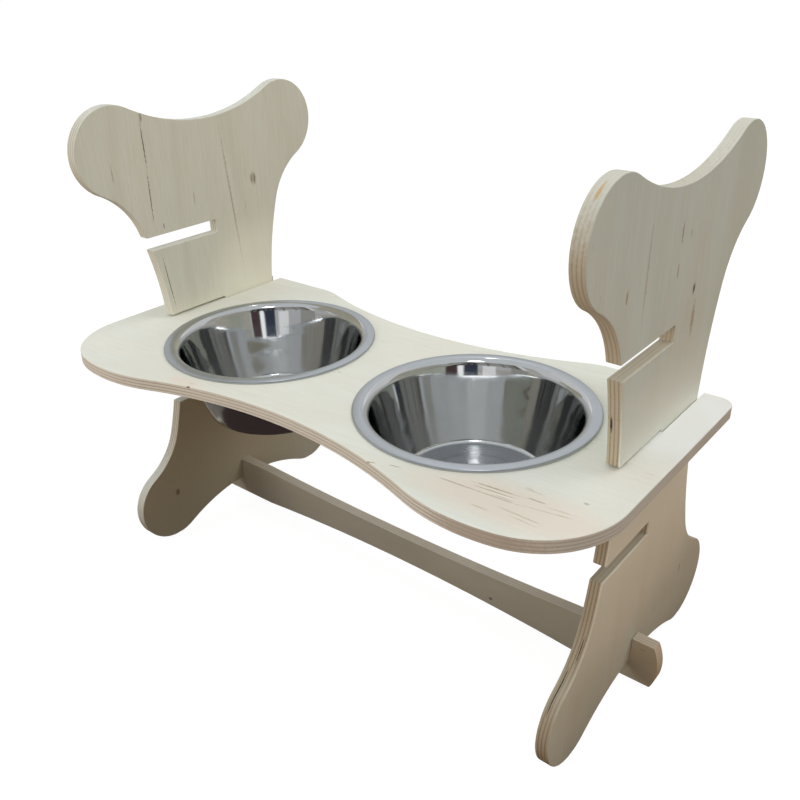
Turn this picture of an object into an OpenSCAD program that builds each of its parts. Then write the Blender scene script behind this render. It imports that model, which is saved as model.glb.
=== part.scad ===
// Raised dog feeder: two bone-shaped side panels, a shelf that slots into them at one of
// three heights, a stretcher near the floor and two lift-out steel bowls.
// X runs along the stand from left to right, Y from front to back and Z up from the floor.
// The origin is on the floor, in the middle of the stand's footprint.

/* [Plywood] */
// Thickness of the boards
ply = 12; // [9:0.5:15]

/* [Side panels] */
// Height of a side panel
panel_h = 500; // [470:1:540]
// Depth of a side panel across its knuckles
panel_w = 316; // [300:1:340]
// Clear distance between the two side panels
panel_gap = 526; // [510:1:580]
// Radius of the four knuckles
knuckle_r = 45; // [42:0.5:50]
// Depth of the panel at its waist
waist_w = 150; // [140:1:160]
// Radius of the long hollow along the waist
waist_r = 375; // [350:5:430]
// Radius of the tighter hollow between waist and knuckle
neck_r = 80; // [60:1:95]
// Depth of the hollow in the top edge, and of the arch between the feet
end_dip = 27; // [22:0.5:34]
// Length of the small flat on which each foot stands
foot_flat = 10; // [4:1:20]

/* [Height slots] */
// Height of the middle slot's lower lip
seat_z = 258; // [245:1:270]
// Distance from one slot to the next
slot_pitch = 91; // [80:0.5:100]
// Spare height of a panel slot over the shelf's thickness
slot_play = 2.4; // [0.5:0.1:3]
// Slot that holds the shelf, counted from the middle one
shelf_level = 0; // [-1:1:1]
// Gap between the ends of the two slots where shelf and panel cross
cross_gap = 0.3; // [0.1:0.1:2]

/* [Shelf] */
// Reach of the shelf ahead of the panels' middle
shelf_front = 202.5; // [190:0.5:220]
// Reach of the shelf behind the panels' middle
shelf_back = 88.5; // [80:0.5:100]
// Overhang of the shelf beyond each panel
shelf_overhang = 30; // [20:0.5:45]
// Radius of the two flat front lobes
front_lobe_r = 164; // [140:2:190]
// Distance of the front lobes' crests from the shelf's ends
front_lobe_inset = 94; // [84:1:106]
// Radius of the two front corners, between lobe and end
front_corner_r = 77; // [65:1:88]
// Depth of the hollow in the front edge
front_dip = 36.5; // [28:0.5:44]
// Radius of the two back shoulders
back_lobe_r = 70; // [55:1:90]
// Depth of the hollow in the back edge
back_dip = 36.5; // [28:0.5:40]
// Radius of the hollow in the back edge
back_hollow_r = 435; // [380:5:480]
// Radius of the two back corners
back_corner_r = 14; // [8:1:22]
// Spare width of a shelf slot over the panel's thickness
shelf_slot_play = 1.5; // [0.5:0.1:3]

/* [Stretcher] */
// Height of the stretcher at its ends
rail_h = 48; // [42:1:56]
// Height of the stretcher's lower edge above the floor
rail_z = 4.5; // [3:0.5:8]
// Overhang of the stretcher beyond each panel
rail_overhang = 28; // [20:1:40]
// Length of the stretch that narrows
rail_waist_l = 430; // [380:5:490]
// Depth of the hollow in the upper edge
rail_top_dip = 6; // [2:0.5:9]
// Depth of the hollow in the lower edge
rail_low_dip = 9.5; // [3:0.5:12]
// Bulge of the two ends
rail_end_bow = 5.7; // [3:0.1:8]
// Radius of the ends' corners
rail_corner_r = 2; // [1:0.25:2.75]
// Spare width of the notches where stretcher and panel cross
lap_play = 1; // [0.4:0.1:2]

/* [Bowls] */
// Radius of the rim
rim_r = 108.5; // [102:0.5:112]
// Inside radius of the mouth
mouth_r = 95; // [88:0.5:98]
// Outside radius at the foot of the wall
base_r = 70.5; // [66:0.5:76]
// Depth of the bowl below the shelf's top
bowl_depth = 76.5; // [60:0.5:90]
// Thickness of the steel
bowl_wall = 1; // [0.8:0.1:1.5]
// Height of the mouth above the shelf
mouth_rise = 3.2; // [2.5:0.1:6]
// Height of the turned-down edge of the rim
hem_h = 1.9; // [1.5:0.1:2.4]
// Radius of the bend where the rim turns down
hem_r = 1.2; // [1.1:0.1:1.4]
// Radius of the shoulder between rim and wall
shoulder_r = 2.5; // [1.6:0.1:4]
// Radius of the bend between wall and base
base_bend_r = 5; // [3:0.5:10]
// Radius of the raised middle of the base
crown_r = 43; // [30:1:46]
// Height of the raised middle of the base
crown_rise = 1; // [0.5:0.1:3]
// Width of the ramp up to the raised middle
crown_ramp = 6; // [5:0.5:9]
// Radius of the bends at the foot and head of the ramp
crown_bend_r = 3; // [1.5:0.5:6]
// Distance between the two bowls' centres
bowl_pitch = 258; // [246:1:270]
// Distance of the bowls' centres ahead of the panels' middle
bowl_ahead = 54; // [50:1:65]
// Gap between a bowl's wall and its hole
hole_play = 3; // [1:0.5:6]

/* [Hidden] */
$fn = 96;

panel_colour = "#cbc2ad";
shelf_colour = "#dcd7c8";
rail_colour = "#b9ad97";
steel_colour = "#a9b0b8";

// Largest turn between neighbouring points of an arc, in degrees
arc_step = 2;
// Largest distance between neighbouring points of an arc
arc_chord = 15;
// Extra length of a cut beyond the face that it breaks
cut = 1;

// The middle of the panels lies behind the origin, because the shelf reaches forward of them
panel_y = (shelf_front - panel_w / 2) / 2;
panel_x = (panel_gap + ply) / 2;
shelf_l = panel_gap + 2 * ply + 2 * shelf_overhang;
shelf_z = seat_z + shelf_level * slot_pitch;
shelf_top = shelf_z + ply;
rail_l = panel_gap + 2 * ply + 2 * rail_overhang;
rail_top = rail_z + rail_h;
hole_r = mouth_r + bowl_wall + hole_play;

// The bone is taller than the panel by the sliver that the feet's flats take off
foot_cut = knuckle_r - sqrt(knuckle_r ^ 2 - (foot_flat / 2) ^ 2);
bone_h = panel_h + foot_cut;
bone_mid_z = panel_h - bone_h / 2;
arch_z = end_dip - foot_cut;
// Stretcher and panel each give way by half of the height where they cross
lap_z = (arch_z + rail_top) / 2;

function polar(r, a) = r * [cos(a), sin(a)];
function bearing(from, to) = atan2(to.y - from.y, to.x - from.x);
function mirrored(points, sx, sy) = [for (p = points) [sx * p.x, sy * p.y]];
function backwards(points) = [for (i = [len(points) - 1 : -1 : 0]) points[i]];

// Points of an arc about c, from angle a0 to angle a1
function arc(c, r, a0, a1) =
    let (turn = abs(a1 - a0))
    let (n = max(1, ceil(turn / arc_step), ceil(turn * r * PI / 180 / arc_chord)))
    [for (i = [0 : n]) c + polar(r, a0 + (a1 - a0) * i / n)];

// Points of an arc from p to q that bulges to the right of the way by sag
function bow(p, q, sag) =
    let (half = norm(q - p) / 2)
    let (r = (half ^ 2 + sag ^ 2) / (2 * sag))
    let (along = bearing(p, q))
    let (c = (p + q) / 2 + polar(r - sag, along + 90))
    let (open = asin(half / r))
    arc(c, r, along - 90 - open, along - 90 + open);

// The meeting point of two circles that lies to the left of the way from c1 to c2
function circles_meet(c1, r1, c2, r2) =
    let (d = norm(c2 - c1))
    let (a = acos((r1 ^ 2 + d ^ 2 - r2 ^ 2) / (2 * r1 * d)))
    c1 + polar(r1, bearing(c1, c2) + a);

// Radius of a hollow that is dip deep at x = 0 and runs smoothly into a lobe, whose centre lies
// lobe.x to the side and lobe.y below the crest that the dip is measured from
function hollow_radius(lobe, lobe_r, dip) =
    let (rise = lobe.y - dip)
    (lobe.x ^ 2 + rise ^ 2 - lobe_r ^ 2) / (2 * (lobe_r - rise));

// One quarter of the bone, from the hollow in its top edge round the knuckle to its waist
function bone_quarter() =
    let (knuckle = [panel_w / 2 - knuckle_r, bone_h / 2 - knuckle_r])
    let (dip_r = hollow_radius([knuckle.x, knuckle_r], knuckle_r, end_dip))
    let (dip = [0, bone_h / 2 - end_dip + dip_r])
    let (waist = [waist_w / 2 + waist_r, 0])
    let (neck = circles_meet(waist, waist_r - neck_r, knuckle, knuckle_r + neck_r))
    let (knuckle_start = bearing(knuckle, dip))
    let (knuckle_end = bearing(knuckle, neck))
    let (neck_end = bearing(waist, neck))
    concat(
        arc(dip, dip_r, -90, bearing(dip, knuckle)),
        arc(knuckle, knuckle_r, knuckle_start, knuckle_end),
        arc(neck, neck_r, knuckle_end + 180, neck_end),
        arc(waist, waist_r, neck_end, 180)
    );

function bone_outline() =
    let (quarter = bone_quarter())
    concat(
        quarter,
        backwards(mirrored(quarter, 1, -1)),
        mirrored(quarter, -1, -1),
        backwards(mirrored(quarter, -1, 1))
    );

// Right half of the shelf, from the middle of its front edge to the middle of its back edge
function shelf_half() =
    let (end_x = shelf_l / 2)
    let (front_lobe = [end_x - front_lobe_inset, front_lobe_r - shelf_front])
    let (front_r = hollow_radius([front_lobe.x, front_lobe_r], front_lobe_r, front_dip))
    let (front_hollow = [0, front_dip - shelf_front - front_r])
    let (tighter = front_lobe_r - front_corner_r)
    let (front_turn = -acos((front_lobe_inset - front_corner_r) / tighter))
    let (front_corner = front_lobe + polar(tighter, front_turn))
    let (back_corner = [end_x, shelf_back] - back_corner_r * [1, 1])
    let (back_hollow = [0, shelf_back - back_dip + back_hollow_r])
    let (shoulder_y = shelf_back - back_lobe_r)
    let (reach = back_hollow_r + back_lobe_r)
    let (shoulder = [sqrt(reach ^ 2 - (back_hollow.y - shoulder_y) ^ 2), shoulder_y])
    concat(
        arc(front_hollow, front_r, 90, bearing(front_hollow, front_lobe)),
        arc(front_lobe, front_lobe_r, bearing(front_lobe, front_hollow), front_turn),
        arc(front_corner, front_corner_r, front_turn, 0),
        arc(back_corner, back_corner_r, 0, 90),
        arc(shoulder, back_lobe_r, 90, bearing(shoulder, back_hollow)),
        arc(back_hollow, back_hollow_r, bearing(back_hollow, shoulder), -90)
    );

function shelf_outline() =
    let (half = shelf_half())
    concat(half, backwards(mirrored(half, -1, 1)));

// The stretcher seen from the front, about the middle of its length, at its own heights
function rail_outline() =
    let (waist_x = rail_waist_l / 2)
    let (low = [rail_l / 2 - rail_end_bow, rail_z])
    let (high = [low.x, rail_top])
    let (bulge = bow(low, high, rail_end_bow))
    let (inner = [for (i = [len(bulge) - 2 : -1 : 1]) bulge[i]])
    let (right_end = concat(
        bend([waist_x, rail_top], high, inner[0], rail_corner_r),
        inner,
        bend(inner[len(inner) - 1], low, [waist_x, rail_z], rail_corner_r)
    ))
    concat(
        bow([-waist_x, rail_top], [waist_x, rail_top], rail_top_dip),
        right_end,
        bow([waist_x, rail_z], [-waist_x, rail_z], rail_low_dip),
        backwards(mirrored(right_end, -1, 1))
    );

// Points of the bend of radius r that rounds the corner b between a and c
function bend(a, b, c, r) =
    let (to_a = bearing(b, a))
    let (turn = ((bearing(b, c) - to_a + 540) % 360) - 180)
    let (side = sign(turn))
    let (centre = b + polar(r / sin(abs(turn) / 2), to_a + turn / 2))
    let (start = to_a - 90 * side)
    arc(centre, r, start, start - side * (180 - abs(turn)));

// A path of [x, y, radius] corners with each inner corner rounded
function rounded_path(corners) =
    let (last = len(corners) - 1)
    let (flat = [for (c = corners) [c.x, c.y]])
    [
        flat[0],
        for (i = [1 : last - 1]) each bend(flat[i - 1], flat[i], flat[i + 1], corners[i].z),
        flat[last]
    ];

// The path moved sideways by d, to the left of its way
function beside(path, d) =
    let (last = len(path) - 1)
    [
        for (i = [0 : last])
        let (a = bearing(path[max(i - 1, 0)], path[max(i, 1)]))
        let (b = bearing(path[min(i, last - 1)], path[min(i + 1, last)]))
        let (half_turn = (((b - a + 540) % 360) - 180) / 2)
        path[i] + polar(d / cos(half_turn), a + half_turn + 90)
    ];

// Half section of a bowl's sheet, about its axis, with the shelf's top at height 0
function bowl_section() =
    let (mid = bowl_wall / 2)
    let (base_z = mid - bowl_depth)
    let (sheet = rounded_path([
        [rim_r - mid, 0, 0],
        [rim_r - mid, hem_h, hem_r],
        [mouth_r + mid, mouth_rise, shoulder_r],
        [base_r - mid, base_z, base_bend_r],
        [crown_r + crown_ramp, base_z, crown_bend_r],
        [crown_r, base_z + crown_rise, crown_bend_r],
        [0, base_z + crown_rise, 0]
    ]))
    concat(beside(sheet, mid), backwards(beside(sheet, -mid)));

// A board that stands across the stand, drawn in Y and Z about the panels' middle
module board_across(x) {
    translate([x - ply / 2, panel_y, 0])
    rotate([90, 0, 90])
    linear_extrude(ply)
    children();
}

module side_panel(x) {
    color(panel_colour)
    board_across(x)
    difference() {
        translate([0, bone_mid_z]) polygon(bone_outline());
        // The feet's flats
        translate([-panel_w / 2, -foot_cut - cut]) square([panel_w, foot_cut + cut]);
        // The three slots for the shelf, open at the front
        for (level = [-1 : 1]) {
            translate([-panel_w / 2 - cut, seat_z + level * slot_pitch])
            square([panel_w / 2 + cut, ply + slot_play]);
        }
        // The notch for the stretcher, open to the arch
        translate([-(ply + lap_play) / 2, 0]) square([ply + lap_play, lap_z]);
    }
}

module left_side_panel() {
    side_panel(-panel_x);
}

module right_side_panel() {
    side_panel(panel_x);
}

module stretcher() {
    notch_w = ply + lap_play;
    color(rail_colour)
    translate([0, panel_y + ply / 2, 0])
    rotate([90, 0, 0])
    linear_extrude(ply)
    difference() {
        polygon(rail_outline());
        for (side = [-1, 1]) {
            translate([side * panel_x - notch_w / 2, lap_z]) square([notch_w, rail_h]);
        }
    }
}

module shelf() {
    slot_w = ply + shelf_slot_play;
    color(shelf_colour)
    translate([0, panel_y, shelf_z])
    difference() {
        linear_extrude(ply)
        difference() {
            polygon(shelf_outline());
            // The slots for the panels, open at the back
            for (side = [-1, 1]) {
                translate([side * panel_x - slot_w / 2, -cross_gap])
                square([slot_w, shelf_back + cross_gap + cut]);
            }
        }
        for (side = [-1, 1]) {
            translate([side * bowl_pitch / 2, -bowl_ahead, -cut]) cylinder(r = hole_r, h = ply + 2 * cut);
        }
    }
}

module bowl(x) {
    color(steel_colour)
    translate([x, panel_y - bowl_ahead, shelf_top])
    rotate_extrude()
    polygon(bowl_section());
}

module left_bowl() {
    bowl(-bowl_pitch / 2);
}

module right_bowl() {
    bowl(bowl_pitch / 2);
}

left_side_panel();
right_side_panel();
stretcher();
shelf();
left_bowl();
right_bowl();
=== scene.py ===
"""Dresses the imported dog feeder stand: slot-together plywood boards and two lift-out steel bowls."""

import logging
import math
from dataclasses import dataclass, replace
from enum import Enum
from typing import Any, Optional, Protocol, Sequence, Union

import bpy
from mathutils import Matrix, Vector


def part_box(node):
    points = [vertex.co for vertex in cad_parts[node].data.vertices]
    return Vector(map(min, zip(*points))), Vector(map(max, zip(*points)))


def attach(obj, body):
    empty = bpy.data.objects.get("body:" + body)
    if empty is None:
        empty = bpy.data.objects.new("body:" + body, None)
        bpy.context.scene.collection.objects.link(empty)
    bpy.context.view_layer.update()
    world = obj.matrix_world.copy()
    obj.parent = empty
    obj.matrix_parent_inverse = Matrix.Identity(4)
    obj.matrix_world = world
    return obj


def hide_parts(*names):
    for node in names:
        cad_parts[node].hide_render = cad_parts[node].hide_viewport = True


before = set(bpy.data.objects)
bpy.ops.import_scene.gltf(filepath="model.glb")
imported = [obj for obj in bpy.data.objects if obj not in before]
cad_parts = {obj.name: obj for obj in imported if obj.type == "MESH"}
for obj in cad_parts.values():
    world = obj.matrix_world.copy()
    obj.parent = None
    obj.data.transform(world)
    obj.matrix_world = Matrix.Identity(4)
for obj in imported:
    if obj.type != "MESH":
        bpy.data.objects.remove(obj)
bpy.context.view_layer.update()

LOG = logging.getLogger("feeder_stand")
MM = 0.001
FACE_VENEER = (4.2 * MM, 4.8 * MM)

Colour = tuple[float, float, float, float]
Point2 = tuple[float, float]
Socket = bpy.types.NodeSocket
Source = Union[float, Socket]
Piece = bpy.types.Object
Material = bpy.types.Material


def paint(red: int, green: int, blue: int) -> Colour:
    """Turns a colour as seen on a screen into the linear colour that a shader takes.

    Args:
        red: Red from 0 to 255.
        green: Green from 0 to 255.
        blue: Blue from 0 to 255.

    Returns:
        The linear colour with full opacity.
    """

    def linear(level: int) -> float:
        """Gives one channel's linear level."""
        share = level / 255
        return share / 12.92 if share <= 0.04045 else ((share + 0.055) / 1.055) ** 2.4

    return linear(red), linear(green), linear(blue), 1.0


class Body(Enum):
    """The stand's moving bodies."""

    SHELF = "shelf"
    LEFT_BOWL = "left_bowl"
    RIGHT_BOWL = "right_bowl"


class Axis(Enum):
    """A direction of the stand, by its place in a vector."""

    X = 0
    Y = 1
    Z = 2


class FaceSide(Enum):
    """The broad side of a board, by the sign of its outward direction."""

    UPPER = 1
    LOWER = -1


class SteelZone(Enum):
    """A differently finished zone of a bowl, by its material's place."""

    FLANGE = 0
    WALL = 1
    BASE = 2
    UNDERSIDE = 3


class Graph:
    """Adds nodes to one shader tree and joins them."""

    def __init__(self, tree: bpy.types.NodeTree) -> None:
        """Starts from an empty tree.

        Args:
            tree: The node tree of a material or of the world.
        """
        self.tree = tree
        tree.nodes.clear()

    def feed(self, socket: Socket, value: Any) -> None:
        """Joins or sets an input.

        Args:
            socket: The input.
            value: Another node's output, or a plain value.
        """
        if isinstance(value, Socket):
            self.tree.links.new(value, socket)
        else:
            socket.default_value = value

    def add(
        self, kind: str, settings: Optional[dict] = None, inputs: Optional[dict] = None
    ) -> bpy.types.Node:
        """Adds a node.

        Args:
            kind: Blender's name of the node type.
            settings: The node's own choices by name.
            inputs: What its inputs are fed with, by name or place.

        Returns:
            The new node.
        """
        node = self.tree.nodes.new(kind)
        for name, value in (settings or {}).items():
            setattr(node, name, value)
        for key, value in (inputs or {}).items():
            self.feed(node.inputs[key], value)
        return node

    def math(self, operation: str, *values: Source) -> Socket:
        """Adds a sum or other plain calculation.

        Args:
            operation: Blender's name of the calculation.
            values: Its one, two or three numbers.

        Returns:
            The result.
        """
        return self.add("ShaderNodeMath", {"operation": operation}, dict(enumerate(values))).outputs[0]

    def span(self, value: Source, low: float, high: float, start: float = 0.0, end: float = 1.0) -> Socket:
        """Maps a stretch of values smoothly onto another.

        Args:
            value: What is mapped.
            low: The value that gives start.
            high: The value that gives end.
            start: The result at and below low.
            end: The result at and above high.

        Returns:
            The mapped value.
        """
        node = self.add(
            "ShaderNodeMapRange",
            {"interpolation_type": "SMOOTHSTEP", "clamp": True},
            {"Value": value, "From Min": low, "From Max": high, "To Min": start, "To Max": end},
        )
        return node.outputs["Result"]

    def vector(self, x: Source, y: Source, z: Source) -> Socket:
        """Gives a vector of three values."""
        return self.add("ShaderNodeCombineXYZ", None, {0: x, 1: y, 2: z}).outputs[0]

    def noise(self, place: Socket, scale: float, detail: float = 2.0, roughness: float = 0.5) -> Socket:
        """Adds soft noise.

        Args:
            place: Where it is looked up.
            scale: Lumps per metre.
            detail: How many finer layers it has.
            roughness: How strong the finer layers are.

        Returns:
            The noise from 0 to 1.
        """
        node = self.add(
            "ShaderNodeTexNoise",
            {"noise_dimensions": "3D"},
            {"Vector": place, "Scale": scale, "Detail": detail, "Roughness": roughness},
        )
        return node.outputs[0]

    def mix(self, share: Source, base: Any, top: Any) -> Socket:
        """Lays one colour over another.

        Args:
            share: How much of the top colour shows.
            base: The colour below.
            top: The colour laid over it.

        Returns:
            The mixed colour.
        """
        settings = {"data_type": "RGBA", "clamp_factor": True}
        return self.add("ShaderNodeMix", settings, {0: share, 6: base, 7: top}).outputs[2]

    def split(self, place: Socket) -> Sequence[Socket]:
        """Gives the three values of a vector."""
        return self.add("ShaderNodeSeparateXYZ", None, {0: place}).outputs

    def show(self, shader: bpy.types.Node) -> None:
        """Lays a shader on the surface."""
        self.add("ShaderNodeOutputMaterial", None, {"Surface": shader.outputs[0]})


def bare_material(name: str) -> tuple[Material, Graph]:
    """Makes a material without nodes.

    Args:
        name: Its name.

    Returns:
        The material and its graph.
    """
    made = bpy.data.materials.new(name)
    made.use_nodes = True
    return made, Graph(made.node_tree)


@dataclass(frozen=True)
class BoardPlace:
    """How a board lies: the ways along its grain, across it and through it, and its middle on the last."""

    along: Axis
    across: Axis
    through: Axis
    middle: float

    @classmethod
    def of_node(cls, node: str, along: Axis, across: Axis, through: Axis) -> "BoardPlace":
        """Reads where a packed board lies.

        Args:
            node: The board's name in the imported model.
            along: The way of its grain.
            across: The way across its grain.
            through: The way through it.

        Returns:
            The board's place.
        """
        low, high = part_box(node)
        return cls(along, across, through, (low[through.value] + high[through.value]) / 2)


@dataclass
class BoardCoordinates:
    """A board's own coordinates as shader values, in metres from the stand's origin."""

    along: Socket
    across: Socket
    through: Socket
    facing_along: Socket
    facing_across: Socket
    facing_through: Socket

    @classmethod
    def of(cls, graph: Graph, place: BoardPlace) -> "BoardCoordinates":
        """Reads the coordinates of a board.

        Args:
            graph: The material's graph.
            place: How the board lies.

        Returns:
            The coordinates.
        """
        source = graph.add("ShaderNodeTexCoord")
        spot = graph.split(source.outputs["Object"])
        facing = graph.split(source.outputs["Normal"])
        return cls(
            along=spot[place.along.value],
            across=spot[place.across.value],
            through=graph.math("SUBTRACT", spot[place.through.value], place.middle),
            facing_along=graph.math("ABSOLUTE", facing[place.along.value]),
            facing_across=graph.math("ABSOLUTE", facing[place.across.value]),
            facing_through=graph.math("ABSOLUTE", facing[place.through.value]),
        )

    def on_edge(self, graph: Graph) -> Socket:
        """Gives 1 on the board's edges and 0 on its faces."""
        return graph.span(self.facing_through, 0.75, 0.35)


class Blemish(Protocol):
    """Something that marks a board in one place."""

    colour: Colour
    depth: float

    def mask(self, graph: Graph, board: BoardCoordinates, ragged: Socket) -> Socket:
        """Gives how strongly the mark shows at each place."""


def spindle(
    graph: Graph, offset_a: Source, half_a: float, offset_b: Source, half_b: float, ragged: Source
) -> Socket:
    """Draws a long soft spot with a ragged outline.

    Args:
        graph: The material's graph.
        offset_a: Distance from the spot's middle along its length.
        half_a: Half of its length.
        offset_b: Distance from its middle across.
        half_b: Half of its width.
        ragged: What is added to the outline's distance.

    Returns:
        The spot's strength from 0 to 1.
    """
    length = graph.math("POWER", graph.math("DIVIDE", offset_a, half_a), 2.0)
    width = graph.math("POWER", graph.math("DIVIDE", offset_b, half_b), 2.0)
    reach = graph.math("ADD", graph.math("SQRT", graph.math("ADD", length, width)), ragged)
    return graph.span(reach, 1.0, 0.35)


@dataclass(frozen=True)
class FaceMark:
    """A knot, crack, tear, streak or wash of colour in a board's face veneer; some washes are painted light
    or painted shade.

    Attributes:
        along: Its middle on the way of the grain.
        across: Its middle on the way across.
        half_length: Half of its length.
        half_width: Half of its width.
        colour: Its colour.
        strength: How much of its colour shows.
        lean: Its slant in radians.
        sway: How far its line wanders.
        side: The side of the board that has it.
        depth: How deep it is; a wash of colour has none.
    """

    along: float
    across: float
    half_length: float
    half_width: float
    colour: Colour
    strength: float = 0.8
    lean: float = 0.0
    sway: float = 0.0
    side: FaceSide = FaceSide.UPPER
    depth: float = 1.0

    @property
    def fray(self) -> float:
        """How ragged its outline is: a wash of colour is softer than a tear."""
        return 0.9 if self.depth else 0.1

    def mask(self, graph: Graph, board: BoardCoordinates, ragged: Socket) -> Socket:
        """Gives how strongly the mark shows at each place.

        Args:
            graph: The material's graph.
            board: The board's coordinates.
            ragged: Fine noise about 0 that roughens the outline.

        Returns:
            The mark's strength from 0 to 1.
        """
        ahead = graph.math("SUBTRACT", board.along, self.along)
        aside = graph.math("SUBTRACT", board.across, self.across)
        swayed = graph.math("MULTIPLY_ADD", ahead, -math.tan(self.lean), aside)
        swayed = graph.math("MULTIPLY_ADD", ragged, self.sway, swayed)
        outline = graph.math("MULTIPLY", ragged, self.fray)
        spot = spindle(graph, ahead, self.half_length, swayed, self.half_width, outline)
        outward = graph.math("MULTIPLY", board.through, float(self.side.value))
        return graph.math("MULTIPLY", spot, graph.span(outward, *FACE_VENEER, 0.0, self.strength))


@dataclass(frozen=True)
class EdgeMark:
    """A slit, knot, saw mark or wash of colour in the front edge of a board; some washes are painted light.

    Attributes:
        along: Its middle on the way of the grain.
        through: Its middle on the way through the board.
        half_length: Half of its length.
        half_width: Half of its width.
        front_of: The place across the board that it lies in front of.
        colour: Its colour.
        strength: How much of its colour shows.
        depth: How deep it is; a wash of colour has none.
        fray: How ragged its outline is.
    """

    along: float
    through: float
    half_length: float
    half_width: float
    front_of: float
    colour: Colour
    strength: float = 0.95
    depth: float = 1.0
    fray: float = 0.7

    def mask(self, graph: Graph, board: BoardCoordinates, ragged: Socket) -> Socket:
        """Gives how strongly the mark shows at each place.

        Args:
            graph: The material's graph.
            board: The board's coordinates.
            ragged: Fine noise about 0 that roughens the outline.

        Returns:
            The mark's strength from 0 to 1.
        """
        ahead = graph.math("SUBTRACT", board.along, self.along)
        aside = graph.math("SUBTRACT", board.through, self.through)
        outline = graph.math("MULTIPLY", ragged, self.fray)
        spot = spindle(graph, ahead, self.half_length, aside, self.half_width, outline)
        spot = graph.math("MULTIPLY", spot, board.on_edge(graph))
        ahead_of = graph.span(board.across, self.front_of, self.front_of - MM, 0.0, self.strength)
        return graph.math("MULTIPLY", spot, ahead_of)


@dataclass
class WoodGrain:
    """The noises that draw a board's grain, as shader values."""

    fibre: Socket
    cloud: Socket
    contour: Socket
    pore: Socket
    patch: Socket
    ragged: Socket
    wander: Socket
    fuzz: Socket

    @classmethod
    def of(cls, graph: Graph, board: BoardCoordinates, seed: float, lean: float) -> "WoodGrain":
        """Adds the noises of one board.

        Args:
            graph: The material's graph.
            board: The board's coordinates.
            seed: What sets the board apart from the others.
            lean: The grain's slant in radians.

        Returns:
            The noises.
        """
        aside = graph.math("MULTIPLY_ADD", board.along, -math.tan(lean), board.across)

        def drawn_out(share: float, depth: Source = 0.0) -> Socket:
            """Gives places whose noise is drawn out along the grain."""
            return graph.vector(graph.math("MULTIPLY_ADD", board.along, share, seed), aside, depth)

        spot = graph.add("ShaderNodeTexCoord").outputs["Object"]
        broad = drawn_out(0.16)
        rings = graph.math("MULTIPLY", graph.noise(broad, 7.0, 1.0, 0.4), 9.0)
        dashes = graph.span(graph.noise(drawn_out(0.07), 760.0, 1.0), 0.68, 0.78)
        edge_place = graph.vector(board.along, board.across, graph.math("MULTIPLY", board.through, 0.25))
        return cls(
            fibre=graph.noise(drawn_out(0.045, graph.math("MULTIPLY", board.through, 2.5)), 620.0, 3.0, 0.6),
            cloud=graph.noise(broad, 16.0, 3.0, 0.55),
            contour=graph.math("PINGPONG", rings, 1.0),
            pore=graph.math("MULTIPLY", dashes, graph.span(graph.noise(broad, 22.0, 2.0), 0.45, 0.7)),
            patch=graph.noise(drawn_out(0.5), 11.0, 2.0),
            ragged=graph.math("SUBTRACT", graph.noise(spot, 380.0, 3.0, 0.6), 0.5),
            wander=graph.math("SUBTRACT", graph.noise(spot, 28.0, 2.0), 0.5),
            fuzz=graph.noise(edge_place, 900.0, 3.0, 0.65),
        )


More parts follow.
